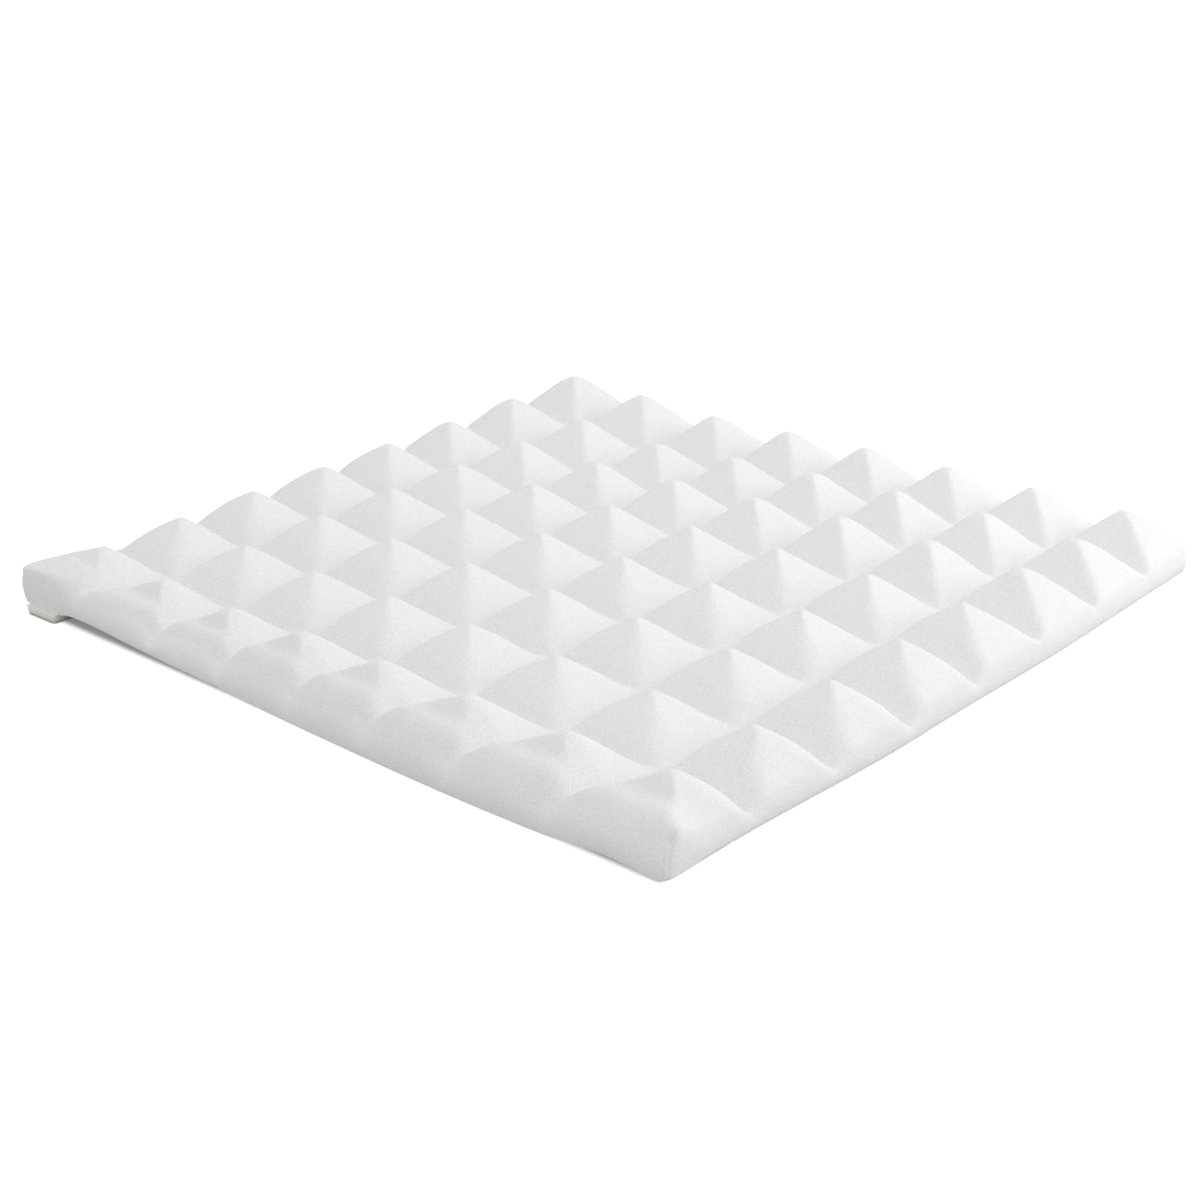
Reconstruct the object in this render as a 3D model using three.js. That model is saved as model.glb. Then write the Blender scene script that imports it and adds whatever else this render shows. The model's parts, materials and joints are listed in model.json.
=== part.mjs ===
// Acoustic foam panel: a square tile of soft white open-cell foam, cut into rows of pyramids,
// with a double-sided mounting pad under each corner.
//
// Lengths are in millimetres. The tile lies on its back: +Z points out of the wall it is made for,
// -Y is the side whose outer row of pyramids runs out into a raised, rounded rim, and the origin is
// on the surface that the part rests on, under the middle of the tile.

import * as THREE from 'three';

// Foam tile: one piece, with grooves cut both ways between the pyramids.
const tileSide = 300;          // along X and along Y
const pyramidPitch = 38;       // from tip to tip
const pyramidHeight = 15.5;    // from the bottom of a groove to a tip
const baseThickness = 8;       // foam left under the grooves
const tipRounding = 2.5;       // how far from its tip a face is still rounded, in plan
const grooveRounding = 4;      // how far from the groove's bottom a face is rounded, in plan

// Rim: along the -Y side the cut runs out, so the outer pyramids end in a bulging shoulder.
const rimFacet = 7.5;          // how far from its tip an outer face stays steep, in plan
const rimDepth = 10;           // from the tips down to the shoulder, also where a groove ends
const rimRounding = 6;         // rounded edge between the shoulder and the side of the tile

// Mounting pads: a foam core with adhesive on both faces and a release liner on the wall face.
const padSide = 15;
const padCornerRadius = 1.5;
const padInset = 8;            // from the tile's edges to a pad
const leftFrontPadInset = 1;   // this one is stuck on nearer to its corner
const padCoreThickness = 3;
const adhesiveThickness = 0.15;
const linerThickness = 0.2;
const linerOverhang = 1;       // the liner stands proud of the pad, so that it can be peeled

// Sag: the soft tile lies flat on its pads and hangs down to the surface between them. The pads
// press into the foam, so its top rises by a share of what its underside does.
const padLandMargin = 2;       // flat foam round each pad
const sagReach = 65;           // from the flat foam to where the tile lies on the surface
const topRiseShare = 0.3;

const sagSteps = 4;            // rows of faces in the sagging stretch of the underside
const rimSteps = 2;            // rows of faces in the rim's rounded edge
const cornerSteps = 3;         // straight pieces in a pad's rounded corner

// Worked out from the sizes above.
const tileHalf = tileSide / 2;
const halfPitch = pyramidPitch / 2;
const tileThickness = baseThickness + pyramidHeight;
const pyramidsPerSide = Math.round(tileSide / pyramidPitch);
const padStack = linerThickness + adhesiveThickness + padCoreThickness + adhesiveThickness;
const landStart = tileHalf - padInset - padSide - padLandMargin;
const bellyHalf = landStart - sagReach;

const finishes = {
  foam: { color: 0xf1f1f0, roughness: 0.95 },
  padCore: { color: 0xe6e6e2, roughness: 0.85 },
  adhesive: { color: 0xd9d6c4, roughness: 0.3 },
  liner: { color: 0xc9b48c, roughness: 0.6 },
};

function smoothStep(share) {
  const t = Math.min(Math.max(share, 0), 1);
  return t * t * (3 - 2 * t);
}

// How deep a pyramid's face lies under its tip, at a plan distance from the tip: a rounded tip,
// a straight face and a rounded groove.
const faceSlope = pyramidHeight / (halfPitch - tipRounding / 2 - grooveRounding / 2);

function faceDepth(distance) {
  if (distance < tipRounding) {
    return (faceSlope * distance * distance) / (2 * tipRounding);
  }
  const toGroove = halfPitch - distance;
  if (toGroove < grooveRounding) {
    return pyramidHeight - (faceSlope * toGroove * toGroove) / (2 * grooveRounding);
  }
  return faceSlope * (distance - tipRounding / 2);
}

// The tips stand on a grid centred on the tile.
const firstTip = -((pyramidsPerSide - 1) * pyramidPitch) / 2;
const rimReach = tileHalf + firstTip;

function distanceToTip(place) {
  const nearest = Math.round((place - firstTip) / pyramidPitch);
  return Math.abs(place - firstTip - nearest * pyramidPitch);
}

// Height of the tile's underside over the surface that the part rests on.
function undersideHeight(x, y) {
  const outX = Math.max(landStart - Math.abs(x), 0);
  const outY = Math.max(landStart - Math.abs(y), 0);
  return padStack * (1 - smoothStep(Math.hypot(outX, outY) / sagReach));
}

// Depth of the outer row's faces on the -Y side, at a distance outwards from their tips: steep like
// the others at first, then the gentler slope of the shoulder.
function rimFaceDepth(outward) {
  if (outward < rimFacet) return faceDepth(outward);
  const facetDepth = faceDepth(rimFacet);
  return facetDepth + ((rimDepth - facetDepth) * (outward - rimFacet)) / (rimReach - rimFacet);
}

// How far the rim's rounded edge falls away, at a distance in from the -Y side.
function edgeDrop(inward) {
  const left = Math.max(rimRounding - inward, 0);
  return rimRounding - Math.sqrt(rimRounding * rimRounding - left * left);
}

function topHeight(x, y) {
  const outward = firstTip - y;
  let depth = faceDepth(Math.max(distanceToTip(x), distanceToTip(y)));
  if (outward > 0) {
    const climb = smoothStep(outward / rimReach) * (1 - rimDepth / pyramidHeight);
    depth = Math.max(faceDepth(distanceToTip(x)) * (1 - climb), rimFaceDepth(outward));
    depth += edgeDrop(rimReach - outward);
  }
  return undersideHeight(x, y) * topRiseShare + tileThickness - depth;
}

// Grid lines over the pyramids: a tip, the ends of its straight faces and the groove.
function topLines(added) {
  const offsets = [-halfPitch, grooveRounding - halfPitch, -tipRounding, 0, tipRounding,
    halfPitch - grooveRounding];
  const lines = [-tileHalf, tileHalf, ...added];
  for (let row = -1; row <= pyramidsPerSide; row += 1) {
    for (const offset of offsets) {
      const line = firstTip + row * pyramidPitch + offset;
      if (Math.abs(line) < tileHalf) lines.push(line);
    }
  }
  return lines.sort((a, b) => a - b);
}

// Grid lines that only the rim needs: the end of its steep faces and its rounded edge.
function rimLines() {
  const lines = [firstTip - rimFacet];
  for (let step = 1; step <= rimSteps; step += 1) {
    const turn = (Math.PI / 2) * (step / rimSteps);
    lines.push(rimRounding * (1 - Math.cos(turn)) - tileHalf);
  }
  return lines;
}

// Grid lines of the underside: the flat foam at the pads, the sagging stretch and the flat middle.
function undersideLines() {
  const outward = [];
  for (let step = 0; step <= sagSteps; step += 1) {
    outward.push(bellyHalf + (sagReach * step) / sagSteps);
  }
  outward.push(tileHalf);
  const mirrored = outward.map((line) => -line).reverse();
  return [...mirrored, ...outward];
}

// A sheet of quads over the grid lines. Each quad is split along the line to the nearest tip.
// Returns the sheet's four edges, each running with the foam on its left, seen from above.
function addSheet(mesh, linesX, linesY, heightAt, facesUp) {
  const first = mesh.points.length;
  for (const y of linesY) {
    for (const x of linesX) mesh.points.push([x, y, heightAt(x, y)]);
  }
  const at = (column, row) => first + row * linesX.length + column;
  const lastColumn = linesX.length - 1;
  const lastRow = linesY.length - 1;
  for (let row = 0; row < lastRow; row += 1) {
    for (let column = 0; column < lastColumn; column += 1) {
      const quad = [at(column, row), at(column + 1, row), at(column + 1, row + 1), at(column, row + 1)];
      const fallsX = distanceToTip(linesX[column]) < distanceToTip(linesX[column + 1]);
      const fallsY = distanceToTip(linesY[row]) < distanceToTip(linesY[row + 1]);
      const [a, b, c, d] = fallsX === fallsY ? quad : [quad[1], quad[2], quad[3], quad[0]];
      if (facesUp) mesh.faces.push([a, b, c], [a, c, d]);
      else mesh.faces.push([a, c, b], [a, d, c]);
    }
  }
  const columns = [...linesX.keys()];
  const rows = [...linesY.keys()];
  return [
    columns.map((column) => at(column, 0)),
    rows.map((row) => at(lastColumn, row)),
    columns.map((column) => at(lastColumn - column, lastRow)),
    rows.map((row) => at(0, lastRow - row)),
  ];
}

// The wall between a lower and an upper edge whose points differ in number.
function addWall(mesh, lower, upper) {
  const start = mesh.points[lower[0]];
  const along = (index) => {
    const [x, y] = mesh.points[index];
    return Math.abs(x - start[0]) + Math.abs(y - start[1]);
  };
  let low = 0;
  let high = 0;
  while (low + 1 < lower.length || high + 1 < upper.length) {
    const lowerDone = low + 1 === lower.length;
    const upperDone = high + 1 === upper.length;
    if (upperDone || (!lowerDone && along(lower[low + 1]) <= along(upper[high + 1]))) {
      mesh.faces.push([lower[low], lower[low + 1], upper[high]]);
      low += 1;
    } else {
      mesh.faces.push([lower[low], upper[high + 1], upper[high]]);
      high += 1;
    }
  }
}

function foamTileGeometry() {
  const mesh = { points: [], faces: [] };
  const below = undersideLines();
  const upperEdges = addSheet(mesh, topLines([]), topLines(rimLines()), topHeight, true);
  const lowerEdges = addSheet(mesh, below, below, undersideHeight, false);
  lowerEdges.forEach((lower, side) => addWall(mesh, lower, upperEdges[side]));

  const geometry = new THREE.BufferGeometry();
  geometry.setAttribute('position', new THREE.Float32BufferAttribute(mesh.points.flat(), 3));
  geometry.setIndex(mesh.faces.flat());
  geometry.computeVertexNormals();
  return geometry;
}

function roundedSquare(side, radius) {
  const half = side / 2;
  const inner = half - radius;
  const outline = new THREE.Shape();
  outline.absarc(inner, inner, radius, 0, Math.PI / 2);
  outline.absarc(-inner, inner, radius, Math.PI / 2, Math.PI);
  outline.absarc(-inner, -inner, radius, Math.PI, 1.5 * Math.PI);
  outline.absarc(inner, -inner, radius, 1.5 * Math.PI, 2 * Math.PI);
  return outline;
}

function layerGeometry(side, radius, thickness) {
  return new THREE.ExtrudeGeometry(roundedSquare(side, radius), {
    depth: thickness,
    bevelEnabled: false,
    curveSegments: cornerSteps,
  });
}

function piece(name, geometry, finish) {
  const mesh = new THREE.Mesh(geometry, new THREE.MeshStandardMaterial({ ...finish, metalness: 0 }));
  mesh.name = name;
  return mesh;
}

// One mounting pad, with its layers from the resting surface up to the tile.
function mountingPad(corner, signX, signY, inset) {
  const pad = new THREE.Group();
  const centre = tileHalf - inset - padSide / 2;
  const linerSide = padSide + 2 * linerOverhang;
  const linerRadius = padCornerRadius + linerOverhang;
  const layers = [
    ['release_liner', linerSide, linerRadius, linerThickness, finishes.liner],
    ['wall_adhesive', padSide, padCornerRadius, adhesiveThickness, finishes.adhesive],
    ['pad_core', padSide, padCornerRadius, padCoreThickness, finishes.padCore],
    ['tile_adhesive', padSide, padCornerRadius, adhesiveThickness, finishes.adhesive],
  ];
  let height = 0;
  for (const [name, side, radius, thickness, finish] of layers) {
    const layer = piece(`${name}_${corner}`, layerGeometry(side, radius, thickness), finish);
    layer.position.z = height;
    pad.add(layer);
    height += thickness;
  }
  pad.position.set(signX * centre, signY * centre, 0);
  return pad;
}

const panel = new THREE.Group();
panel.add(piece('foam_tile', foamTileGeometry(), finishes.foam));
panel.add(mountingPad('left_front', -1, -1, leftFrontPadInset));
panel.add(mountingPad('right_front', 1, -1, padInset));
panel.add(mountingPad('right_back', 1, 1, padInset));
panel.add(mountingPad('left_back', -1, 1, padInset));

export default panel;
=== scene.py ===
import json
import math

import bpy
import numpy as np
from bpy.props import FloatProperty, FloatVectorProperty, IntProperty, PointerProperty
from bpy.types import Operator, Panel, PropertyGroup
from mathutils import Matrix, Vector, noise

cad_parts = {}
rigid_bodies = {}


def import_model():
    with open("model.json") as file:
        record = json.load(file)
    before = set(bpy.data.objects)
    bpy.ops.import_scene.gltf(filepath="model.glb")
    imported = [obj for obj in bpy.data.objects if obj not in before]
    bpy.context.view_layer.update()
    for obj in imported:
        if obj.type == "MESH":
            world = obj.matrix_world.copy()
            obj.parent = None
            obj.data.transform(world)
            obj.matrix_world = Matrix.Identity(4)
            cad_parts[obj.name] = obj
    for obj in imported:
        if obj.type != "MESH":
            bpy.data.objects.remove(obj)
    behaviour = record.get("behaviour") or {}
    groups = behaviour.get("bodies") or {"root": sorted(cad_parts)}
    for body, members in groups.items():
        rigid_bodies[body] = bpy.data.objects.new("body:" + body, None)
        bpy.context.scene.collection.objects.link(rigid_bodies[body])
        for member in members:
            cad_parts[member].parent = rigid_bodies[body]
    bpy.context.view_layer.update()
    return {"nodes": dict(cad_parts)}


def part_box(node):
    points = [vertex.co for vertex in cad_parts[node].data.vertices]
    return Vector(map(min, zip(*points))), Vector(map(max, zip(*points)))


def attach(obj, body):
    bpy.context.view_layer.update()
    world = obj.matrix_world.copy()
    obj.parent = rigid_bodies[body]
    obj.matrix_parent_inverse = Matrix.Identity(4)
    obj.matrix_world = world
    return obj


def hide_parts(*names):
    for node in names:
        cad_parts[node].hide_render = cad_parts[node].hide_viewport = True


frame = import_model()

bl_info = {
    "name": "Acoustic foam panel",
    "version": (1, 0, 0),
    "blender": (4, 5, 0),
    "location": "View3D > Sidebar > Foam panel",
    "description": "Builds a pyramid foam tile on its mounting pads, with a plain studio stage",
    "category": "Add Mesh",
}

MM = 0.001
TINY = MM / 50  # keeps a rounding's width and a division clear of zero

TILE_LOW, TILE_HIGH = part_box("foam_tile")
PAD_LOW, PAD_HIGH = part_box("pad_core_right_back")
PAD_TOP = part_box("tile_adhesive_right_back")[1].z
PAD_INSET = TILE_HIGH.x - PAD_HIGH.x
LEFT_PAD_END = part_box("pad_core_left_front")[1].x

# Each corner of the tile, with the signs of its X and Y.
CORNERS = {"left_front": (-1, -1), "right_front": (1, -1),
           "right_back": (1, 1), "left_back": (-1, 1)}

CAMERA_FRAME = 36.0  # width in millimetres


class FoamPanelTile(PropertyGroup):
    """Sizes and finish of the foam tile."""

    side: FloatProperty(
        name="Side", description="Length of the tile along X and Y",
        default=TILE_HIGH.x - TILE_LOW.x, unit="LENGTH")
    pitch: FloatProperty(
        name="Pitch", description="Distance from tip to tip", default=0.038, unit="LENGTH")
    height: FloatProperty(
        name="Pyramid height", description="From the bottom of a groove to a tip",
        default=0.0155, unit="LENGTH")
    bulge: FloatProperty(
        name="Bulge", description="How far the faces belly out: 0 is straight", default=0.20)
    slack: FloatProperty(
        name="Slack", description="How much less steep the ridges towards the left front are",
        default=0.24)
    tip_round: FloatProperty(
        name="Tip rounding", description="How far from a tip its faces are still rounded",
        default=0.0008, unit="LENGTH")
    soft_tip_round: FloatProperty(
        name="Soft tip rounding",
        description="The same for the softer tips, at the back and along the left and front",
        default=0.0036, unit="LENGTH")
    groove_round: FloatProperty(
        name="Groove rounding", description="How far from a groove its faces are rounded",
        default=0.0034, unit="LENGTH")
    ridge_round: FloatProperty(
        name="Ridge rounding", description="How far the front ridges are rounded off halfway down",
        default=0.0020, unit="LENGTH")
    back_round: FloatProperty(
        name="Back rounding", description="The same for the ridges at the back",
        default=0.0008, unit="LENGTH")
    crossing_rise: FloatProperty(
        name="Crossing rise", description="How much shallower the grooves are where they cross",
        default=0.14, subtype="FACTOR")
    rim_facet: FloatProperty(
        name="Rim facet", description="How far from its tip an outer front face stays steep",
        default=0.0072, unit="LENGTH")
    rim_depth: FloatProperty(
        name="Rim depth", description="From the tips down to the edge of the front rim",
        default=0.0074, unit="LENGTH")
    rim_hollow: FloatProperty(
        name="Rim hollow", description="How much deeper the shoulder starts in front of a tip",
        default=0.0006, unit="LENGTH")
    rim_belly: FloatProperty(
        name="Rim belly", description="How much deeper the rim's edge is beside a tip",
        default=0.0024, unit="LENGTH")
    rim_notch: FloatProperty(
        name="Rim notch", description="How much deeper than the rim's edge a groove ends",
        default=0.0040, unit="LENGTH")
    rim_lean: FloatProperty(
        name="Rim lean", description="How far the top of the front wall leans back",
        default=0.0035, unit="LENGTH")
    rim_round: FloatProperty(
        name="Rim rounding", description="Radius of the front rim's edge",
        default=0.0056, unit="LENGTH")
    cut_round: FloatProperty(
        name="Cut rounding", description="Radius of the other edges, where the tile was cut",
        default=0.001, unit="LENGTH")
    top_rise: FloatProperty(
        name="Top rise", description="Share of a pad's height by which it lifts the tile's top",
        default=0.3, subtype="FACTOR")
    sag_reach: FloatProperty(
        name="Sag reach", description="From the foam on a pad to where the tile meets the floor",
        default=0.065, unit="LENGTH")
    land_margin: FloatProperty(
        name="Land margin", description="Flat foam round each pad", default=0.002, unit="LENGTH")
    wall_swell: FloatProperty(
        name="Wall swell", description="How far the middle of a side wall stands out",
        default=0.0007, unit="LENGTH")
    cells: IntProperty(
        name="Cells", description="Faces across one pyramid", default=32, min=8)
    wall_colour: FloatVectorProperty(
        name="Foam colour", description="Colour of the foam's cell walls", subtype="COLOR",
        default=(0.96, 0.96, 0.955))
    # Painted shade: the darker colour deep in the open cells stands in for the shade there.
    pore_shade_colour: FloatVectorProperty(
        name="Pore shade colour", description="Colour deep in the open cells", subtype="COLOR",
        default=(0.84, 0.84, 0.835))
    pore_size: FloatProperty(
        name="Pore size", description="Width of one open cell", default=0.0005, unit="LENGTH")


class FoamPanelPads(PropertyGroup):
    """Sizes and colours of the mounting pads."""

    corner_radius: FloatProperty(
        name="Corner radius", description="Radius of a pad's corners",
        default=0.0015, unit="LENGTH")
    swell: FloatProperty(
        name="Side swell", description="How far a pad's pressed sides swell",
        default=0.0008, unit="LENGTH")
    curl: FloatProperty(
        name="Liner curl", description="How far a liner's loose rim lifts",
        default=0.0002, unit="LENGTH")
    core_colour: FloatVectorProperty(
        name="Core colour", description="Colour of the pad's foam core", subtype="COLOR",
        default=(0.93, 0.93, 0.92))
    core_pore_size: FloatProperty(
        name="Core pore size", description="Width of one cell of the core",
        default=0.0003, unit="LENGTH")
    film_colour: FloatVectorProperty(
        name="Film colour", description="Colour of the adhesive film", subtype="COLOR",
        default=(0.90, 0.90, 0.87))
    liner_colour: FloatVectorProperty(
        name="Liner colour", description="Colour of the release paper", subtype="COLOR",
        default=(0.79, 0.71, 0.55))


class FoamPanelStage(PropertyGroup):
    """Camera, lamps and floor."""

    azimuth: FloatProperty(
        name="Azimuth", description="Camera's turn round the panel", subtype="ANGLE",
        default=math.radians(40.7))
    elevation: FloatProperty(
        name="Elevation", description="Camera's height over the horizon", subtype="ANGLE",
        default=math.radians(22.7))
    roll: FloatProperty(
        name="Roll", description="Camera's lean to one side", subtype="ANGLE",
        default=math.radians(-0.69))
    distance: FloatProperty(
        name="Distance", description="From the camera to the point it looks at",
        default=0.737, unit="LENGTH")
    aim: FloatVectorProperty(
        name="Aim", description="Point that the camera looks at", subtype="XYZ", unit="LENGTH",
        default=(0.0022, -0.0112, 0.0))
    lens: FloatProperty(
        name="Lens", description=f"Focal length in mm on a {CAMERA_FRAME:.0f} mm wide frame",
        default=61.2)
    key_place: FloatVectorProperty(
        name="Key place", description="Place of the large lamp", subtype="XYZ", unit="LENGTH",
        default=(0.57, 0.38, 0.28))
    lamp_size: FloatProperty(
        name="Lamp size", description="Side of each lamp", default=0.6, unit="LENGTH")
    key_power: FloatProperty(
        name="Key power", description="Power of the large lamp in watts", default=1.6)
    top_place: FloatVectorProperty(
        name="Top place", description="Place of the overhead lamp", subtype="XYZ", unit="LENGTH",
        default=(0.10, 0.0, 1.20))
    top_power: FloatProperty(
        name="Top power", description="Power of the overhead lamp in watts", default=1.0)
    sky_strength: FloatProperty(
        name="Sky strength", description="Brightness of the even light from all round",
        default=0.745)
    floor_colour: FloatVectorProperty(
        name="Floor colour", description="Colour of the floor", subtype="COLOR",
        default=(0.60, 0.60, 0.60))
    floor_glow: FloatProperty(
        name="Floor glow",
        description="Plain white beside the panel, for the camera and reflections only",
        default=0.80)
    # Painted light: the camera-only white left in the shadowed gap under the tile's edge.
    gap_painted_light: FloatProperty(
        name="Gap glow", description="What is left of that white in the gap under the tile's edge",
        default=0.12)
    # These lay the painted shadow edge along the tile's own edge.
    glow_turn: FloatProperty(
        name="Glow turn", description="Turn of that white's inner edge, to lie along the tile's",
        subtype="ANGLE", default=math.radians(1.2))
    glow_shift: FloatVectorProperty(
        name="Glow shift", description="Shift of that white's inner edge", subtype="XYZ",
        unit="LENGTH", default=(0.0035, -0.0010, 0.0))


def deselect():
    """Leaves edit mode with nothing selected, because operators act on all that is selected."""
    if bpy.context.object and bpy.context.object.mode != "OBJECT":
        bpy.ops.object.mode_set(mode="OBJECT")
    bpy.ops.object.select_all(action="DESELECT")


def activate(piece):
    deselect()
    piece.select_set(True)
    bpy.context.view_layer.objects.active = piece


def settle(piece, name):
    """Names the piece and puts its place into its mesh."""
    piece.name = name
    piece.data.name = name
    activate(piece)
    bpy.ops.object.transform_apply(location=True, rotation=True, scale=True)


def apply_modifier(piece, kind, **values):
    modifier = piece.modifiers.new(kind.title(), kind)
    for key, value in values.items():
        setattr(modifier, key, value)
    activate(piece)
    bpy.ops.object.modifier_apply(modifier=modifier.name)


def points_of(mesh):
    points = np.empty(len(mesh.vertices) * 3)
    mesh.vertices.foreach_get("co", points)
    return points.reshape(-1, 3)


def put_points(mesh, points):
    mesh.vertices.foreach_set("co", points.ravel())
    mesh.update()


def smooth_step(share):
    t = np.clip(share, 0, 1)
    return t * t * (3 - 2 * t)


def ripple(points, scale, seed):
    """Smooth unevenness between -1 and 1, the same on every run."""
    shift = Vector((seed, seed, seed))
    return np.array([noise.noise(Vector(point) / scale + shift) for point in points])


# How the soft tile lies and how unevenly it was cut, in millimetres where no unit is given.
# In these tables, a row of four is a hill or hollow: the X and Y of its middle, its reach and its
# height. Where the table's name ends in CHANGE or SHARE, that height is a share.

TOP_LIE = (
    (-57, 95, 45, -3.8), (76, 60, 50, 2.0), (-140, -60, 45, 0.7),
    (-75, -133, 40, -3.0), (120, -110, 50, -2.0), (133, 133, 50, -1.8), (-133, 133, 40, 1.0))
ROW_STRAY = ((-150, -150, 70, 6.8), (-150, 70, 70, -4.8), (40, -150, 60, -2.0), (60, 40, 80, 1.1))
STRAY_WAY = (0.76, 0.65)  # X and Y of the direction in which the rows stray
BULGE_CHANGE = ((-80, 100, 70, -0.12), (40, 100, 60, -0.12), (30, 0, 50, -0.13))
SLACK_CHANGE = ((-60, -165, 60, 0.22), (60, -165, 60, 0.22))
GROOVE_FILL_SHARE = ((-140, -120, 60, 0.08), (70, -110, 60, 0.04), (-135, -136, 9, 0.35))
FRONT_EDGE_LIFT = (
    (-115, -150, 30, 1.5), (-92, -150, 28, 1.0), (-58, -150, 28, 1.05), (125, -150, 16, 1.7))
RIM_DRIFT = (
    (0, -150, 400, 8.0), (75, -150, 80, 4.0), (-125, -150, 25, 5.5), (152, -150, 28, -11.0))
RIM_DRIFT_GROWTH = 1.2  # power with which the rim's grooves drift on the way out

# Where a gradual change starts and where it is complete: along X on the left, else along Y.
SLACK_ENDS = (70, 0)
BACK_ENDS = (-80, 60)
SOFT_BACK_ENDS = (20, 70)
SOFT_LEFT_ENDS = (-100, -125)
SOFT_FRONT_ENDS = (-105, -125)
NOTCH_ENDS = (40, -20)

# A side's stray outwards: where it starts, then each change and the stretch that it takes.
FRONT_CUT = (-2.0, ((-90, 80, 5.2),))
RIGHT_CUT = (-4.2, ((-135, -30, 5.0), (-30, 60, 2.2)))
LEFT_CUT = (2.5, ((-140, -80, -2.5),))
CUT_REACH = 16 * MM

# Down a ridge, its rounding and its slack grow and shrink again. The factors bring both to about
# 1 at most, and the fall is the power with which the slack shrinks.
ROUNDING_FACTOR = 6.75
SLACK_FACTOR = 5.2
SLACK_FALL = 1.5

# Share of the crossing rise that the grooves lack at the back.
BACK_CROSSING_SHARE = 0.7

# The rim's shoulder starts at this share of its slope. Then come the widths of two roundings:
# between a steep face and the shoulder, and between the shoulder and the face beside it.
SHOULDER_START_SHARE = 0.3
SHOULDER_KINK = 0.3 * MM
RIM_RIDGE = 0.8 * MM

# How much deeper the grooves end at the right side, and from how far in.
NOTCH_SHARE = 0.25
NOTCH_REACH = 17 * MM

# The tile's edges hang down past the pads, but not at the left front, where a pad reaches them.
# Its top edges are less rounded there, too.
HANG_SHARE = 0.95
LEFT_FRONT_REACH = 60 * MM
LEFT_FRONT_ROUND_LOSS_SHARE = 0.85

# How far in the lift of the front edge reaches, the lower edges' share of the cut's rounding, and
# the radius of each corner in plan.
LIFT_REACH = 25 * MM
LOWER_CUT_SHARE = 0.25
CORNER_ROUNDS = {"left_front": 1.5 * MM, "right_front": 5 * MM,
                 "right_back": 6 * MM, "left_back": 4 * MM}

# The unevenness of cut foam: height, width and seed of each ripple.
RIPPLES = ((0.22 * MM, 14 * MM, 3), (0.1 * MM, 4 * MM, 17))

# Rows of faces: lines in from the tile's sides, and rings down its walls as shares of the way.
EDGE_LINES = (0, 0.3 * MM, 0.9 * MM, 2.2 * MM)
WALL_SHARES = (0.1, 0.25, 0.45, 0.65, 0.85, 1.0)

# A face belongs to the underside if its normal's Z is less than this. A share of them is kept.
FACING_DOWN = -0.9
UNDERSIDE_SHARE = 0.12

# Rings up a pad core's sides: share of the way up, and share of the swell.
PAD_RING_SHARES = ((0.12, 0.6), (0.35, 0.95), (0.65, 1.0), (0.9, 0.9), (1.0, 0.7))
PAD_CORNER_STEPS = 5

# Edges that turn more than this stay sharp.
FOAM_SHARP = math.radians(50)
PAD_SHARP = math.radians(40)


def between(place, ends):
    """Share from 0 at the first end, in millimetres, to 1 at the second."""
    return smooth_step((place / MM - ends[0]) / (ends[1] - ends[0]))


def hills(x, y, table):
    total = np.zeros_like(x)
    for middle_x, middle_y, reach, height in table:
        away = (x / MM - middle_x) ** 2 + (y / MM - middle_y) ** 2
        total += height * np.exp(-away / reach ** 2)
    return total


def stray(place, cut):
    """How far a side strays at a place along it."""
    first, changes = cut
    total = np.full_like(place, first)
    for start, end, amount in changes:
        total += amount * between(place, (start, end))
    return total * MM


def face_depth(distance, bulge, tip_round, tile):
    """Depth under a tip: a rounded tip, a bulging face and a rounded groove."""
    half_pitch = tile.pitch / 2
    slope = tile.height / (half_pitch - tip_round / 2 - tile.groove_round / 2)
    along = distance * (1 - bulge) + bulge * distance ** 2 / half_pitch
    to_groove = half_pitch - along
    tip = slope * along ** 2 / (2 * tip_round)
    groove = tile.height - slope * to_groove ** 2 / (2 * tile.groove_round)
    face = slope * (along - tip_round / 2)
    return np.where(along < tip_round, tip,
                    np.where(to_groove < tile.groove_round, groove, face))


def larger(a, b, width):
    """The larger of two values, with the kink between them rounded off."""
    meeting = np.clip(1 - np.abs(a - b) / (4 * width), 0, 1)
    return np.maximum(a, b) + width * meeting ** 2


def ridge_distance(aside, ahead, slack, rounding, tile):
    """Distance from a tip to the square outline through a point. Its corners are rounded, most of
    all halfway down, and the one towards the left front is drawn in by the slack."""
    half_pitch = tile.pitch / 2
    farther = np.maximum(np.abs(aside), np.abs(ahead))
    down = np.clip(farther / half_pitch, 0, 1)
    width = rounding * ROUNDING_FACTOR * down ** 2 * (1 - down) + TINY
    rounded = larger(np.abs(aside), np.abs(ahead), width) - width / 2
    left_front = np.clip(-(aside + ahead) / (2 * farther + TINY), 0, 1)
    drawn_in = slack * left_front * (SLACK_FACTOR * down * (1 - down) ** SLACK_FALL)
    return np.clip(rounded * (1 - drawn_in), 0, half_pitch)


def edge_drop(inward, radius):
    """How far a rounded edge falls away, at a distance in from the side."""
    left = np.clip(radius - inward, 0, radius)
    return radius - np.sqrt(radius ** 2 - left ** 2)


def underside_height(x, y, tile):
    """The tile lies flat on its pads and hangs down to the floor between them."""
    land_start = PAD_LOW.x - tile.land_margin
    out_x = np.maximum(land_start - np.abs(x), 0)
    out_y = np.maximum(land_start - np.abs(y), 0)
    return PAD_TOP * (1 - smooth_step(np.hypot(out_x, out_y) / tile.sag_reach))


def first_tip(tile):
    rows = round(tile.side / tile.pitch)
    return -(rows - 1) * tile.pitch / 2


def from_tip(place, tile):
    """Place along a row as seen from the nearest line of tips, at most half a pitch away."""
    steps = (place - first_tip(tile)) / tile.pitch
    last = round(tile.side / tile.pitch) - 1
    nearest = np.clip(np.round(steps), 0, last)
    return np.clip(steps - nearest, -0.5, 0.5) * tile.pitch


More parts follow.
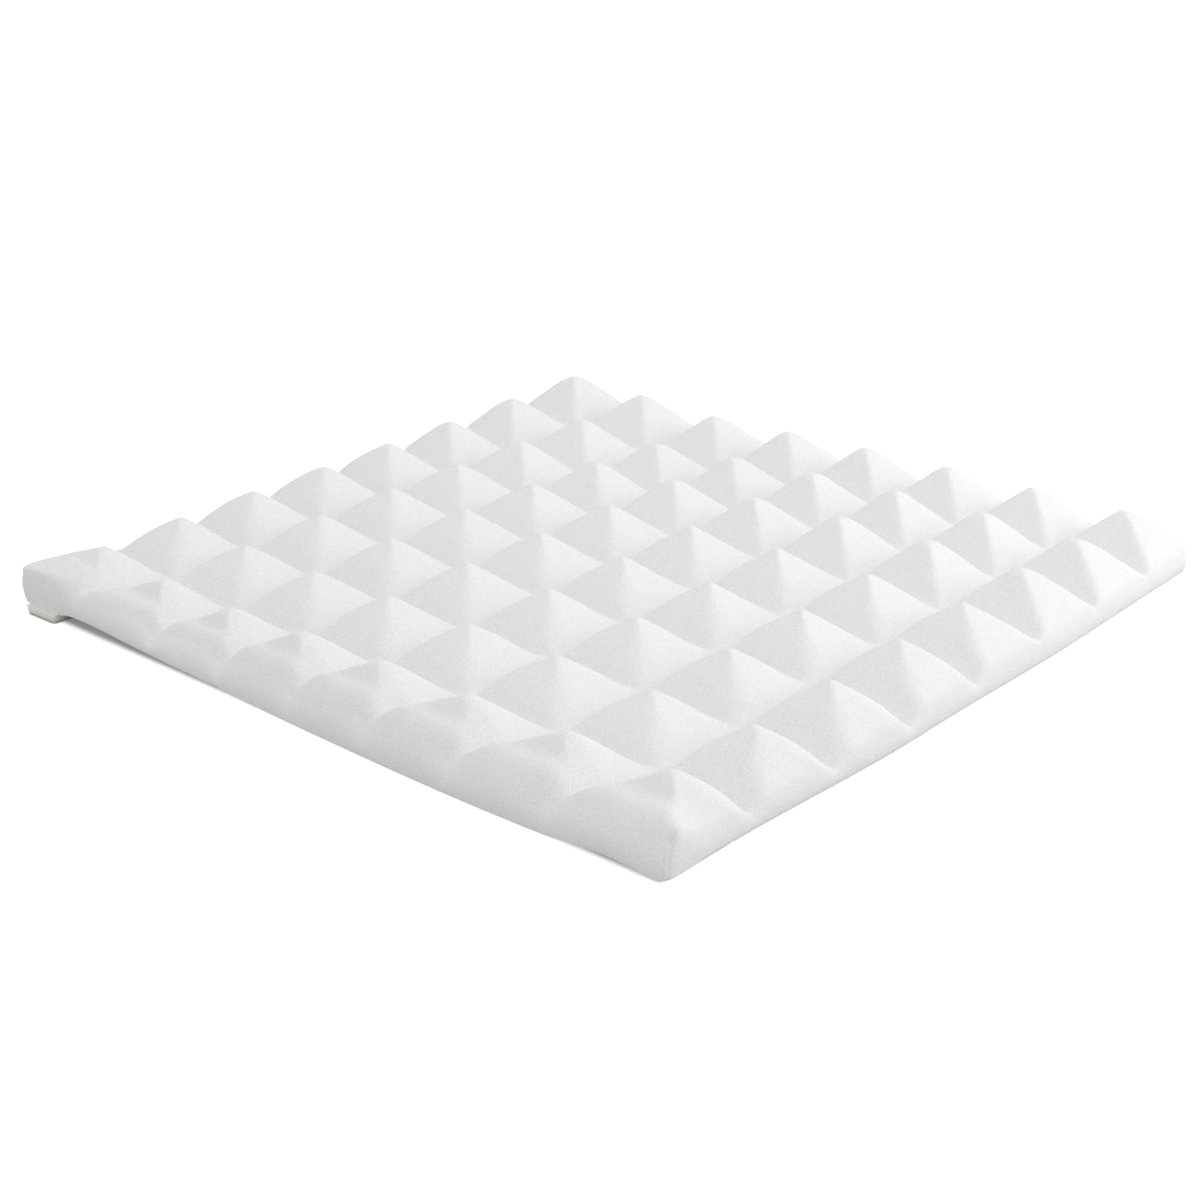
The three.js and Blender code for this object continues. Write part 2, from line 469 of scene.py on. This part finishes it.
def rim_depth(outward, reach, aside, bulge, tip_round, beside, tile):
    """Depth of the outer front row: steep faces, a bulging shoulder, and grooves that run out."""
    steep = face_depth(np.clip(outward, 0, tile.pitch / 2), bulge, tip_round, tile)
    facet_depth = face_depth(np.full_like(outward, tile.rim_facet), bulge, tip_round, tile)
    share = np.clip((outward - tile.rim_facet) / (reach - tile.rim_facet), -1, 1)
    hollow = tile.rim_hollow * np.exp(-(aside / tile.rim_facet) ** 2) * (1 - share)
    steepening = SHOULDER_START_SHARE + (1 - SHOULDER_START_SHARE) * np.clip(share, 0, 1)
    to_side = np.abs(aside) / tile.pitch * 2
    end_depth = tile.rim_depth + tile.rim_belly * to_side ** 2
    shoulder = facet_depth + (end_depth - facet_depth) * (steepening * share) + hollow
    front = -larger(-steep, -shoulder, SHOULDER_KINK)
    out = np.clip(outward / reach, 0, 1)
    climb = (1 - (tile.rim_depth + tile.rim_notch) / tile.height) * smooth_step(out)
    return larger(front, beside * (1 - climb), RIM_RIDGE * out + TINY)


def tip_rounding(x, y, tile):
    """The tips are softer at the back, and half as soft along the left and front sides."""
    soft_side = np.maximum(between(x, SOFT_LEFT_ENDS), between(y, SOFT_FRONT_ENDS)) / 2
    soft = np.maximum(between(y, SOFT_BACK_ENDS), soft_side)
    return tile.tip_round + (tile.soft_tip_round - tile.tip_round) * soft


def right_notch(x, y, ahead, tile):
    """Share by which the grooves are deeper where they end at the right side."""
    in_groove = smooth_step(2 * np.abs(ahead) / (tile.pitch / 2) - 1)
    near_right = smooth_step(1 - (tile.side / 2 - x) / NOTCH_REACH)
    return NOTCH_SHARE * in_groove * near_right * between(y, NOTCH_ENDS)


def pyramid_depth(x, y, tile):
    """Depth of the tile's top under its tips."""
    half_pitch = tile.pitch / 2
    row_stray = hills(x, y, ROW_STRAY) * MM
    along_x = x - row_stray * STRAY_WAY[0]
    along_y = y - row_stray * STRAY_WAY[1]
    bulge = tile.bulge + hills(x, y, BULGE_CHANGE)
    slack = tile.slack * between(y, SLACK_ENDS) + hills(x, y, SLACK_CHANGE)
    at_back = between(y, BACK_ENDS)
    rounding = tile.ridge_round + (tile.back_round - tile.ridge_round) * at_back
    outward = first_tip(tile) - along_y
    in_rim = outward > 0
    reach = outward + y + tile.side / 2
    growth = np.clip(outward / reach, 0, 1) ** RIM_DRIFT_GROWTH
    drift = hills(x, y, RIM_DRIFT) * MM * growth
    aside = from_tip(along_x + drift, tile)
    ahead = np.where(in_rim, -np.clip(outward, 0, half_pitch), from_tip(along_y, tile))
    tip_round = tip_rounding(x, y, tile)
    depth = face_depth(
        ridge_distance(aside, ahead, slack, rounding, tile), bulge, tip_round, tile)
    at_tips = ridge_distance(aside, np.zeros_like(aside), slack, rounding, tile)
    beside = face_depth(at_tips, bulge, tip_round, tile)
    rim = rim_depth(outward, reach, aside, bulge, tip_round, beside, tile)
    depth = np.where(in_rim, rim, depth)

    crossing = (np.minimum(np.abs(aside), np.abs(ahead)) / half_pitch) ** 2
    rise = tile.crossing_rise * (1 - BACK_CROSSING_SHARE * at_back)
    depth *= 1 - rise * crossing * np.where(in_rim, 1 - outward / reach, 1)
    filled = 1 - hills(x, y, GROOVE_FILL_SHARE)
    return depth * filled * (1 + right_notch(x, y, ahead, tile) * ~in_rim)


def foam_sheet(tile, thickness):
    """A sheet of whole pyramids, cut to the tile's size and given its thickness."""
    rows = round(tile.side / tile.pitch)
    deselect()
    bpy.ops.mesh.primitive_grid_add(
        x_subdivisions=rows * tile.cells, y_subdivisions=rows * tile.cells,
        size=rows * tile.pitch, location=(0, 0, thickness))
    piece = bpy.context.object
    settle(piece, "foam_tile_soft")
    bpy.ops.object.mode_set(mode="EDIT")
    for normal in ((1, 0, 0), (-1, 0, 0), (0, 1, 0), (0, -1, 0)):
        for inset in EDGE_LINES:
            bpy.ops.mesh.select_all(action="SELECT")
            bpy.ops.mesh.bisect(
                plane_co=Vector(normal) * (tile.side / 2 - inset), plane_no=normal,
                clear_outer=inset == 0)
    bpy.ops.mesh.select_all(action="SELECT")
    done = 0
    for share in WALL_SHARES:
        bpy.ops.mesh.extrude_region_move(
            TRANSFORM_OT_translate={"value": (0, 0, (done - share) * thickness)})
        done = share
    bpy.ops.mesh.select_all(action="SELECT")
    bpy.ops.mesh.normals_make_consistent(inside=False)
    bpy.ops.object.mode_set(mode="OBJECT")
    return piece


def thin_underside(piece):
    """The underside is plain, so it gets along with far fewer faces than the pyramids."""
    mesh = piece.data
    facing = np.empty(len(mesh.polygons) * 3)
    mesh.polygons.foreach_get("normal", facing)
    facing_down = facing.reshape(-1, 3)[:, 2] < FACING_DOWN
    activate(piece)
    bpy.ops.object.mode_set(mode="EDIT")
    bpy.ops.mesh.select_mode(type="FACE")
    bpy.ops.mesh.select_all(action="DESELECT")
    bpy.ops.object.mode_set(mode="OBJECT")
    mesh.polygons.foreach_set("select", facing_down)
    bpy.ops.object.mode_set(mode="EDIT")
    bpy.ops.mesh.select_less()
    bpy.ops.mesh.decimate(ratio=UNDERSIDE_SHARE)
    bpy.ops.object.mode_set(mode="OBJECT")


def round_corners(points, half):
    """Moves the points near each corner in, so that the corner is round in plan."""
    for corner, radius in CORNER_ROUNDS.items():
        sign = np.array(CORNERS[corner])
        beyond = points[:, :2] * sign - (half - radius)
        near = (beyond > 0).all(axis=1)
        shares = beyond[near] / radius
        rounded = shares * np.sqrt(1 - shares[:, ::-1] ** 2 / 2)
        points[near, :2] = ((half - radius) + rounded * radius) * sign


def shape_foam(piece, tile, thickness):
    """Gives the flat block its pyramids, rounded edges, swollen walls and the way it lies."""
    points = points_of(piece.data)
    x, y = points[:, 0].copy(), points[:, 1].copy()
    down = 1 - points[:, 2] / thickness
    half = tile.side / 2
    in_right, in_front = half - x, half + y
    inward_cut = np.minimum(half - np.abs(x), half - y)
    inward = np.minimum(inward_cut, in_front)

    under = underside_height(x, y, tile)
    lie = hills(x, y, TOP_LIE) * MM
    top = thickness + under * tile.top_rise + lie - pyramid_depth(x, y, tile)
    from_corner = np.hypot(x + half, y + half) / LEFT_FRONT_REACH
    left_front = np.exp(-2 * from_corner ** 2)
    cut_drop = edge_drop(inward_cut, tile.cut_round)
    rim_round = tile.rim_round * (1 - LEFT_FRONT_ROUND_LOSS_SHARE * left_front)
    rim_drop = np.clip(rim_round - in_front, 0, None) ** 2 / (2 * rim_round)
    top -= np.maximum(cut_drop, rim_drop)
    hang = HANG_SHARE * (1 - np.exp(-from_corner ** 2))
    under *= 1 - hang * smooth_step(1 - inward / PAD_INSET)
    past_pad = smooth_step((x - LEFT_PAD_END) / (4 * tile.land_margin))
    lift = hills(x, y, FRONT_EDGE_LIFT) * MM * past_pad
    under += lift * smooth_step(1 - in_front / LIFT_REACH)
    under += LOWER_CUT_SHARE * edge_drop(inward, tile.cut_round) * (1 - left_front)
    points[:, 2] = top * (1 - down) + under * down

    round_corners(points, half)
    swell = tile.wall_swell * np.sin(np.pi * down)
    side_wall = half - TINY / 2
    points[:, 0] += np.where(np.abs(x) > side_wall, np.sign(x) * swell, 0)
    points[:, 1] += np.where(np.abs(y) > side_wall, np.sign(y) * swell, 0)
    points[:, 0] += stray(y, RIGHT_CUT) * smooth_step(1 - in_right / CUT_REACH)
    points[:, 0] -= stray(y, LEFT_CUT) * smooth_step(1 - (half + x) / CUT_REACH)
    lean = tile.rim_lean * (1 - down) ** 2 * (1 - left_front)
    points[:, 1] -= (stray(x, FRONT_CUT) - lean) * smooth_step(1 - in_front / CUT_REACH)
    put_points(piece.data, points)
    roughen(piece)


def roughen(piece):
    """Small unevenness of cut foam, along each point's normal."""
    points = points_of(piece.data)
    normals = np.empty(len(points) * 3)
    piece.data.vertices.foreach_get("normal", normals)
    normals = normals.reshape(-1, 3)
    push = sum(height * ripple(points, width, seed) for height, width, seed in RIPPLES)
    free = smooth_step((points[:, 2] - PAD_TOP) / PAD_TOP)
    put_points(piece.data, points + normals * (push * free)[:, None])


# Materials: the depth of a foam's pores and how much its cells count beside finer noise, the
# depth of the paper's fibres, and shades, by which a colour is multiplied.

FOAM_PORE_DEPTH = 0.25 * MM
CELL_SHARE = 0.55
FIBRE_DEPTH = 0.02 * MM
# Painted shade: the pad core's pores are its own colour made darker.
CORE_PORE_SHADE = 0.88
BUBBLE_SHADE = 0.85
FIBRE_SHADES = (0.9, 1.08)


def shaded(colour, shade):
    return tuple(channel * shade for channel in colour)


def add_node(tree, kind, place, **values):
    made = tree.nodes.new(kind)
    made.location = place
    for key, value in values.items():
        setattr(made, key, value)
    return made


def pore_group():
    """Open cells as a colour, with painted shade deep in each pore, and a height, used by every
    foam on the panel.
    """
    group = bpy.data.node_groups.new("foam_pores", "ShaderNodeTree")
    face = group.interface
    for name, kind in (("Vector", "NodeSocketVector"), ("Pore size", "NodeSocketFloat"),
                       ("Wall colour", "NodeSocketColor"), ("Pore shade colour", "NodeSocketColor")):
        face.new_socket(name=name, in_out="INPUT", socket_type=kind)
    face.new_socket(name="Color", in_out="OUTPUT", socket_type="NodeSocketColor")
    face.new_socket(name="Height", in_out="OUTPUT", socket_type="NodeSocketFloat")
    source = add_node(group, "NodeGroupInput", (-900, 0))
    result = add_node(group, "NodeGroupOutput", (600, 0))
    scale = add_node(group, "ShaderNodeMath", (-700, -200), operation="DIVIDE")
    scale.inputs[0].default_value = 1.0
    cells = add_node(group, "ShaderNodeTexVoronoi", (-500, 100), feature="F1")
    fine = add_node(group, "ShaderNodeTexNoise", (-500, -200))
    fine.inputs["Detail"].default_value = 3.0
    fine.inputs["Roughness"].default_value = 0.7
    height = add_node(group, "ShaderNodeMath", (-250, 0), operation="MULTIPLY_ADD")
    height.inputs[1].default_value = CELL_SHARE
    spread = add_node(group, "ShaderNodeMapRange", (0, 100))
    spread.inputs["From Min"].default_value = 0.45
    spread.inputs["From Max"].default_value = 0.95
    blend = add_node(group, "ShaderNodeMix", (200, 100), data_type="RGBA")
    link = group.links.new
    link(source.outputs["Pore size"], scale.inputs[1])
    link(source.outputs["Vector"], cells.inputs["Vector"])
    link(source.outputs["Vector"], fine.inputs["Vector"])
    link(scale.outputs[0], cells.inputs["Scale"])
    link(scale.outputs[0], fine.inputs["Scale"])
    link(cells.outputs["Distance"], height.inputs[0])
    link(fine.outputs["Fac"], height.inputs[2])
    link(height.outputs[0], spread.inputs["Value"])
    link(spread.outputs["Result"], blend.inputs["Factor"])
    # Painted shade: the pore colour darkens the hollow of each open cell.
    link(source.outputs["Pore shade colour"], blend.inputs["A"])
    link(source.outputs["Wall colour"], blend.inputs["B"])
    link(blend.outputs["Result"], result.inputs["Color"])
    link(height.outputs[0], result.inputs["Height"])
    return group


def new_material(name):
    material = bpy.data.materials.new(name)
    material.use_nodes = True
    tree = material.node_tree
    tree.nodes.clear()
    shader = add_node(tree, "ShaderNodeBsdfPrincipled", (300, 0))
    output = add_node(tree, "ShaderNodeOutputMaterial", (600, 0))
    tree.links.new(shader.outputs["BSDF"], output.inputs["Surface"])
    return material, tree, shader


def foam_material(name, wall, pore, pore_size):
    material, tree, shader = new_material(name)
    place = add_node(tree, "ShaderNodeTexCoord", (-900, 0))
    pores = add_node(tree, "ShaderNodeGroup", (-500, 0))
    pores.node_tree = bpy.data.node_groups.get("foam_pores") or pore_group()
    pores.inputs["Pore size"].default_value = pore_size
    pores.inputs["Wall colour"].default_value = (*wall, 1)
    # Painted shade deep in the open cells, as a darker pore colour.
    pores.inputs["Pore shade colour"].default_value = (*pore, 1)
    bump = add_node(tree, "ShaderNodeBump", (0, -200))
    bump.inputs["Distance"].default_value = FOAM_PORE_DEPTH
    bump.inputs["Strength"].default_value = 0.6
    tree.links.new(place.outputs["Object"], pores.inputs["Vector"])
    tree.links.new(pores.outputs["Color"], shader.inputs["Base Color"])
    tree.links.new(pores.outputs["Height"], bump.inputs["Height"])
    tree.links.new(bump.outputs["Normal"], shader.inputs["Normal"])
    shader.inputs["Roughness"].default_value = 0.95
    shader.inputs["Specular IOR Level"].default_value = 0.2
    return material


def film_material(pads):
    """Tacky adhesive: a pale gloss film with fine air bubbles."""
    material, tree, shader = new_material("adhesive_film")
    place = add_node(tree, "ShaderNodeTexCoord", (-900, 0))
    bubbles = add_node(tree, "ShaderNodeTexVoronoi", (-600, 0), feature="SMOOTH_F1")
    bubbles.inputs["Scale"].default_value = 900.0
    ramp = add_node(tree, "ShaderNodeMapRange", (-300, 100))
    ramp.inputs["To Min"].default_value = 0.18
    ramp.inputs["To Max"].default_value = 0.5
    tint = add_node(tree, "ShaderNodeMix", (0, 200), data_type="RGBA")
    tint.inputs["A"].default_value = (*pads.film_colour, 1)
    tint.inputs["B"].default_value = (*shaded(pads.film_colour, BUBBLE_SHADE), 1)
    tree.links.new(place.outputs["Object"], bubbles.inputs["Vector"])
    tree.links.new(bubbles.outputs["Distance"], ramp.inputs["Value"])
    tree.links.new(ramp.outputs["Result"], shader.inputs["Roughness"])
    tree.links.new(bubbles.outputs["Distance"], tint.inputs["Factor"])
    tree.links.new(tint.outputs["Result"], shader.inputs["Base Color"])
    return material


def paper_material(pads):
    """Release paper: smooth kraft with a faint long fibre."""
    material, tree, shader = new_material("liner_paper")
    place = add_node(tree, "ShaderNodeTexCoord", (-1100, 0))
    along = add_node(tree, "ShaderNodeMapping", (-900, 0))
    along.inputs["Scale"].default_value = (300, 1800, 300)
    fibre = add_node(tree, "ShaderNodeTexNoise", (-600, 0))
    fibre.inputs["Scale"].default_value = 1.0
    fibre.inputs["Detail"].default_value = 5.0
    tint = add_node(tree, "ShaderNodeMix", (0, 200), data_type="RGBA")
    for side, shade in zip("AB", FIBRE_SHADES):
        tint.inputs[side].default_value = (*shaded(pads.liner_colour, shade), 1)
    bump = add_node(tree, "ShaderNodeBump", (0, -200))
    bump.inputs["Distance"].default_value = FIBRE_DEPTH
    tree.links.new(place.outputs["Object"], along.inputs["Vector"])
    tree.links.new(along.outputs["Vector"], fibre.inputs["Vector"])
    tree.links.new(fibre.outputs["Fac"], tint.inputs["Factor"])
    tree.links.new(tint.outputs["Result"], shader.inputs["Base Color"])
    tree.links.new(fibre.outputs["Fac"], bump.inputs["Height"])
    tree.links.new(bump.outputs["Normal"], shader.inputs["Normal"])
    shader.inputs["Roughness"].default_value = 0.42
    return material


def set_material(piece, material):
    piece.data.materials.clear()
    piece.data.materials.append(material)


class FOAMPANEL_OT_tile(Operator):
    """Model the soft foam tile with its rows of pyramids"""

    bl_idname = "foampanel.tile"
    bl_label = "Foam tile"

    def execute(self, context):
        tile = context.scene.foam_panel_tile
        thickness = TILE_HIGH.z - PAD_TOP * tile.top_rise
        piece = foam_sheet(tile, thickness)
        shape_foam(piece, tile, thickness)
        thin_underside(piece)
        activate(piece)
        bpy.ops.object.mode_set(mode="EDIT")
        bpy.ops.mesh.select_all(action="SELECT")
        bpy.ops.mesh.quads_convert_to_tris(quad_method="LONGEST_DIAGONAL")
        bpy.ops.object.mode_set(mode="OBJECT")
        bpy.ops.object.shade_smooth_by_angle(angle=FOAM_SHARP)
        set_material(piece, foam_material(
            "acoustic_foam", tile.wall_colour, tile.pore_shade_colour, tile.pore_size))
        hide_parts("foam_tile")
        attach(piece, "root")
        return {"FINISHED"}


def rounded_plate(centre, side, radius, height):
    """A square face with rounded corners, left all selected in edit mode."""
    deselect()
    bpy.ops.mesh.primitive_plane_add(size=side, location=(centre[0], centre[1], height))
    plate = bpy.context.object
    bpy.ops.object.mode_set(mode="EDIT")
    bpy.ops.mesh.select_all(action="SELECT")
    bpy.ops.mesh.bevel(offset=radius, segments=PAD_CORNER_STEPS, affect="VERTICES")
    bpy.ops.mesh.select_all(action="SELECT")
    return plate


def pad_core(corner, pads):
    """The pad's foam core, pressed so that its sides swell."""
    low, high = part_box(f"pad_core_{corner}")
    middle = (low + high) / 2
    side = high.x - low.x
    piece = rounded_plate(middle, side, pads.corner_radius, low.z)
    done, swollen = 0, 0
    for share, swell in PAD_RING_SHARES:
        bpy.ops.mesh.extrude_region_move(
            TRANSFORM_OT_translate={"value": (0, 0, (share - done) * (high.z - low.z))})
        grown = (side + 2 * swell * pads.swell) / (side + 2 * swollen * pads.swell)
        bpy.ops.transform.resize(value=(grown, grown, 1), center_override=middle)
        done, swollen = share, swell
    bpy.ops.mesh.select_all(action="SELECT")
    bpy.ops.mesh.normals_make_consistent(inside=False)
    bpy.ops.object.mode_set(mode="OBJECT")
    settle(piece, f"pad_core_soft_{corner}")
    bpy.ops.object.shade_smooth_by_angle(angle=PAD_SHARP)
    return piece


def release_liner(corner, pads):
    """The liner under the pad, whose loose rim lifts a little off the floor."""
    low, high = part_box(f"release_liner_{corner}")
    pad_side = PAD_HIGH.x - PAD_LOW.x
    middle = (low + high) / 2
    side = high.x - low.x
    overhang = (side - pad_side) / 2
    piece = rounded_plate(middle, side, pads.corner_radius + overhang, low.z)
    for inset in (overhang / 2, overhang / 2, side / 4):
        bpy.ops.mesh.inset(thickness=inset, depth=0)
    bpy.ops.object.mode_set(mode="OBJECT")
    settle(piece, f"release_liner_curled_{corner}")
    points = points_of(piece.data)
    reach = np.maximum(np.abs(points[:, 0] - middle.x), np.abs(points[:, 1] - middle.y))
    loose = np.clip((reach - pad_side / 2) / overhang, 0, 1)
    points[:, 2] = middle.z + pads.curl * loose ** 2
    put_points(piece.data, points)
    apply_modifier(piece, "SOLIDIFY", thickness=high.z - low.z, offset=0.0)
    bpy.ops.object.shade_smooth_by_angle(angle=PAD_SHARP)
    return piece


class FOAMPANEL_OT_pads(Operator):
    """Model the pads' foam cores and release liners, and finish their adhesive films"""

    bl_idname = "foampanel.pads"
    bl_label = "Mounting pads"

    def execute(self, context):
        pads = context.scene.foam_panel_pads
        # Painted shade in the pad core's pores: its colour made darker.
        core_pore_shades = shaded(pads.core_colour, CORE_PORE_SHADE)
        core_finish = foam_material(
            "pad_foam", pads.core_colour, core_pore_shades, pads.core_pore_size)
        liner_finish = paper_material(pads)
        film_finish = film_material(pads)
        for corner in CORNERS:
            core = pad_core(corner, pads)
            set_material(core, core_finish)
            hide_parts(f"pad_core_{corner}")
            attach(core, "root")
            liner = release_liner(corner, pads)
            set_material(liner, liner_finish)
            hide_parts(f"release_liner_{corner}")
            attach(liner, "root")
            for face in ("wall", "tile"):
                film = frame["nodes"][f"{face}_adhesive_{corner}"]
                for held in film.material_slots:
                    held.material = film_finish
        return {"FINISHED"}


# The floor's side, and the reach of its plain white: across the tile's edge, where it draws a
# painted shadow edge, and out from it.

FLOOR_SIDE = 6.0
GLOW_EDGE = 2 * MM
GLOW_REACH = 2 * TILE_HIGH.x


class FOAMPANEL_OT_stage(Operator):
    """Set up the floor, the lamps and the camera"""

    bl_idname = "foampanel.stage"
    bl_label = "Stage"

    def execute(self, context):
        stage = context.scene.foam_panel_stage
        make_floor(stage)
        make_light(stage)
        make_camera(stage)
        context.scene.view_settings.view_transform = "Standard"
        return {"FINISHED"}


def background_rays(tree):
    """The rays that see the plain white background: from the camera, and in a reflection."""
    seen = add_node(tree, "ShaderNodeLightPath", (-400, 300))
    reflected = add_node(tree, "ShaderNodeMath", (-200, 200), operation="MAXIMUM")
    either = add_node(tree, "ShaderNodeMath", (0, 300), operation="MAXIMUM")
    tree.links.new(seen.outputs["Is Glossy Ray"], reflected.inputs[0])
    tree.links.new(seen.outputs["Is Transmission Ray"], reflected.inputs[1])
    tree.links.new(seen.outputs["Is Camera Ray"], either.inputs[0])
    tree.links.new(reflected.outputs[0], either.inputs[1])
    return either.outputs[0]


def distance_from_middle(tree, stage):
    """The larger of X and Y away from the tile's middle, turned and shifted as its sides are."""
    place = add_node(tree, "ShaderNodeTexCoord", (-1300, -400))
    turned = add_node(tree, "ShaderNodeMapping", (-1100, -400))
    turned.inputs["Location"].default_value = stage.glow_shift
    turned.inputs["Rotation"].default_value[2] = stage.glow_turn
    plain = add_node(tree, "ShaderNodeVectorMath", (-900, -400), operation="ABSOLUTE")
    split = add_node(tree, "ShaderNodeSeparateXYZ", (-700, -400))
    away = add_node(tree, "ShaderNodeMath", (-500, -400), operation="MAXIMUM")
    tree.links.new(place.outputs["Object"], turned.inputs["Vector"])
    tree.links.new(turned.outputs["Vector"], plain.inputs[0])
    tree.links.new(plain.outputs["Vector"], split.inputs["Vector"])
    tree.links.new(split.outputs["X"], away.inputs[0])
    tree.links.new(split.outputs["Y"], away.inputs[1])
    return away.outputs[0]


def glow_strength(tree, stage):
    """A quick rise of the white at the tile's edge, which draws a painted shadow edge, and a slow
    one farther out.
    """
    away = distance_from_middle(tree, stage)
    total = add_node(tree, "ShaderNodeMath", (0, -600), operation="ADD")
    # Painted shadow edge and painted light: under the tile the white falls to the gap's share, so
    # the floor there stays dark with a sharp outline, lit only by that share.
    rises = ((-GLOW_EDGE, GLOW_EDGE, stage.gap_painted_light), (0, GLOW_REACH, 0))
    for index, (start, end, least) in enumerate(rises):
        rise = add_node(tree, "ShaderNodeMapRange", (-300, -500 - 300 * index),
                        interpolation_type="SMOOTHSTEP")
        rise.inputs["From Min"].default_value = TILE_HIGH.x + start
        rise.inputs["From Max"].default_value = TILE_HIGH.x + end
        rise.inputs["To Min"].default_value = least
        rise.inputs["To Max"].default_value = stage.floor_glow
        tree.links.new(away, rise.inputs["Value"])
        tree.links.new(rise.outputs["Result"], total.inputs[index])
    return total.outputs[0]


def floor_material(stage):
    """A white floor that takes the panel's shadow, with a painted shadow edge along the tile, and
    has no far edge.
    """
    material, tree, shader = new_material("floor_white")
    shader.inputs["Base Color"].default_value = (*stage.floor_colour, 1)
    shader.inputs["Roughness"].default_value = 0.9
    shader.inputs["Specular IOR Level"].default_value = 0.0
    glow = add_node(tree, "ShaderNodeEmission", (300, -400))
    both = add_node(tree, "ShaderNodeAddShader", (500, -200))
    pick = add_node(tree, "ShaderNodeMixShader", (700, 0))
    output = next(made for made in tree.nodes if made.type == "OUTPUT_MATERIAL")
    output.location = (900, 0)
    tree.links.new(glow_strength(tree, stage), glow.inputs["Strength"])
    tree.links.new(shader.outputs["BSDF"], both.inputs[0])
    tree.links.new(glow.outputs["Emission"], both.inputs[1])
    tree.links.new(background_rays(tree), pick.inputs["Fac"])
    tree.links.new(shader.outputs["BSDF"], pick.inputs[1])
    tree.links.new(both.outputs["Shader"], pick.inputs[2])
    tree.links.new(pick.outputs["Shader"], output.inputs["Surface"])
    return material


def make_floor(stage):
    deselect()
    bpy.ops.mesh.primitive_plane_add(size=FLOOR_SIDE, location=(0, 0, 0))
    floor = bpy.context.object
    floor.name = "floor"
    set_material(floor, floor_material(stage))


def make_light(stage):
    world = bpy.data.worlds.new("studio")
    world.use_nodes = True
    tree = world.node_tree
    sky = tree.nodes["Background"]
    sky.inputs["Color"].default_value = (1, 1, 1, 1)
    sky.inputs["Strength"].default_value = stage.sky_strength
    backdrop = add_node(tree, "ShaderNodeBackground", (0, -200))
    backdrop.inputs["Color"].default_value = (1, 1, 1, 1)
    pick = add_node(tree, "ShaderNodeMixShader", (200, 0))
    tree.links.new(background_rays(tree), pick.inputs["Fac"])
    tree.links.new(sky.outputs["Background"], pick.inputs[1])
    tree.links.new(backdrop.outputs["Background"], pick.inputs[2])
    tree.links.new(pick.outputs["Shader"], tree.nodes["World Output"].inputs["Surface"])
    bpy.context.scene.world = world

    for name, place, power in (("key_lamp", stage.key_place, stage.key_power),
                               ("top_lamp", stage.top_place, stage.top_power)):
        deselect()
        bpy.ops.object.light_add(type="AREA", location=place)
        lamp = bpy.context.object
        lamp.name = name
        lamp.data.shape = "SQUARE"
        lamp.data.size = stage.lamp_size
        lamp.data.energy = power
        lamp.rotation_euler = (-lamp.location).to_track_quat("-Z", "Y").to_euler()


def make_camera(stage):
    azimuth, elevation = stage.azimuth, stage.elevation
    back = Vector((math.sin(azimuth) * math.cos(elevation),
                   -math.cos(azimuth) * math.cos(elevation), math.sin(elevation)))
    right = Vector((0, 0, 1)).cross(back).normalized()
    up = back.cross(right)
    leant_right = math.cos(stage.roll) * right + math.sin(stage.roll) * up
    leant_up = -math.sin(stage.roll) * right + math.cos(stage.roll) * up
    bpy.ops.object.camera_add()
    camera = bpy.context.object
    camera.name = "camera"
    camera.data.sensor_width = CAMERA_FRAME
    camera.data.lens = stage.lens
    camera.data.clip_start = 0.01
    turn = Matrix((leant_right, leant_up, back)).transposed().to_4x4()
    turn.translation = Vector(stage.aim) + back * stage.distance
    camera.matrix_world = turn
    bpy.context.scene.camera = camera


class FOAMPANEL_PT_sidebar(Panel):
    """Buttons that build the panel and its stage"""

    bl_label = "Foam panel"
    bl_idname = "FOAMPANEL_PT_sidebar"
    bl_space_type = "VIEW_3D"
    bl_region_type = "UI"
    bl_category = "Foam panel"

    def draw(self, context):
        for operator in OPERATORS:
            self.layout.operator(operator.bl_idname)


GROUPS = {
    "foam_panel_tile": FoamPanelTile,
    "foam_panel_pads": FoamPanelPads,
    "foam_panel_stage": FoamPanelStage,
}
OPERATORS = (FOAMPANEL_OT_tile, FOAMPANEL_OT_pads, FOAMPANEL_OT_stage)
CLASSES = (*GROUPS.values(), *OPERATORS, FOAMPANEL_PT_sidebar)


def register():
    for made in CLASSES:
        bpy.utils.register_class(made)
    for name, group in GROUPS.items():
        setattr(bpy.types.Scene, name, PointerProperty(type=group))


def unregister():
    for name in GROUPS:
        delattr(bpy.types.Scene, name)
    for made in reversed(CLASSES):
        bpy.utils.unregister_class(made)


def main():
    register()
    bpy.ops.foampanel.tile()
    bpy.ops.foampanel.pads()
    bpy.ops.foampanel.stage()


if __name__ == "__main__":
    main()
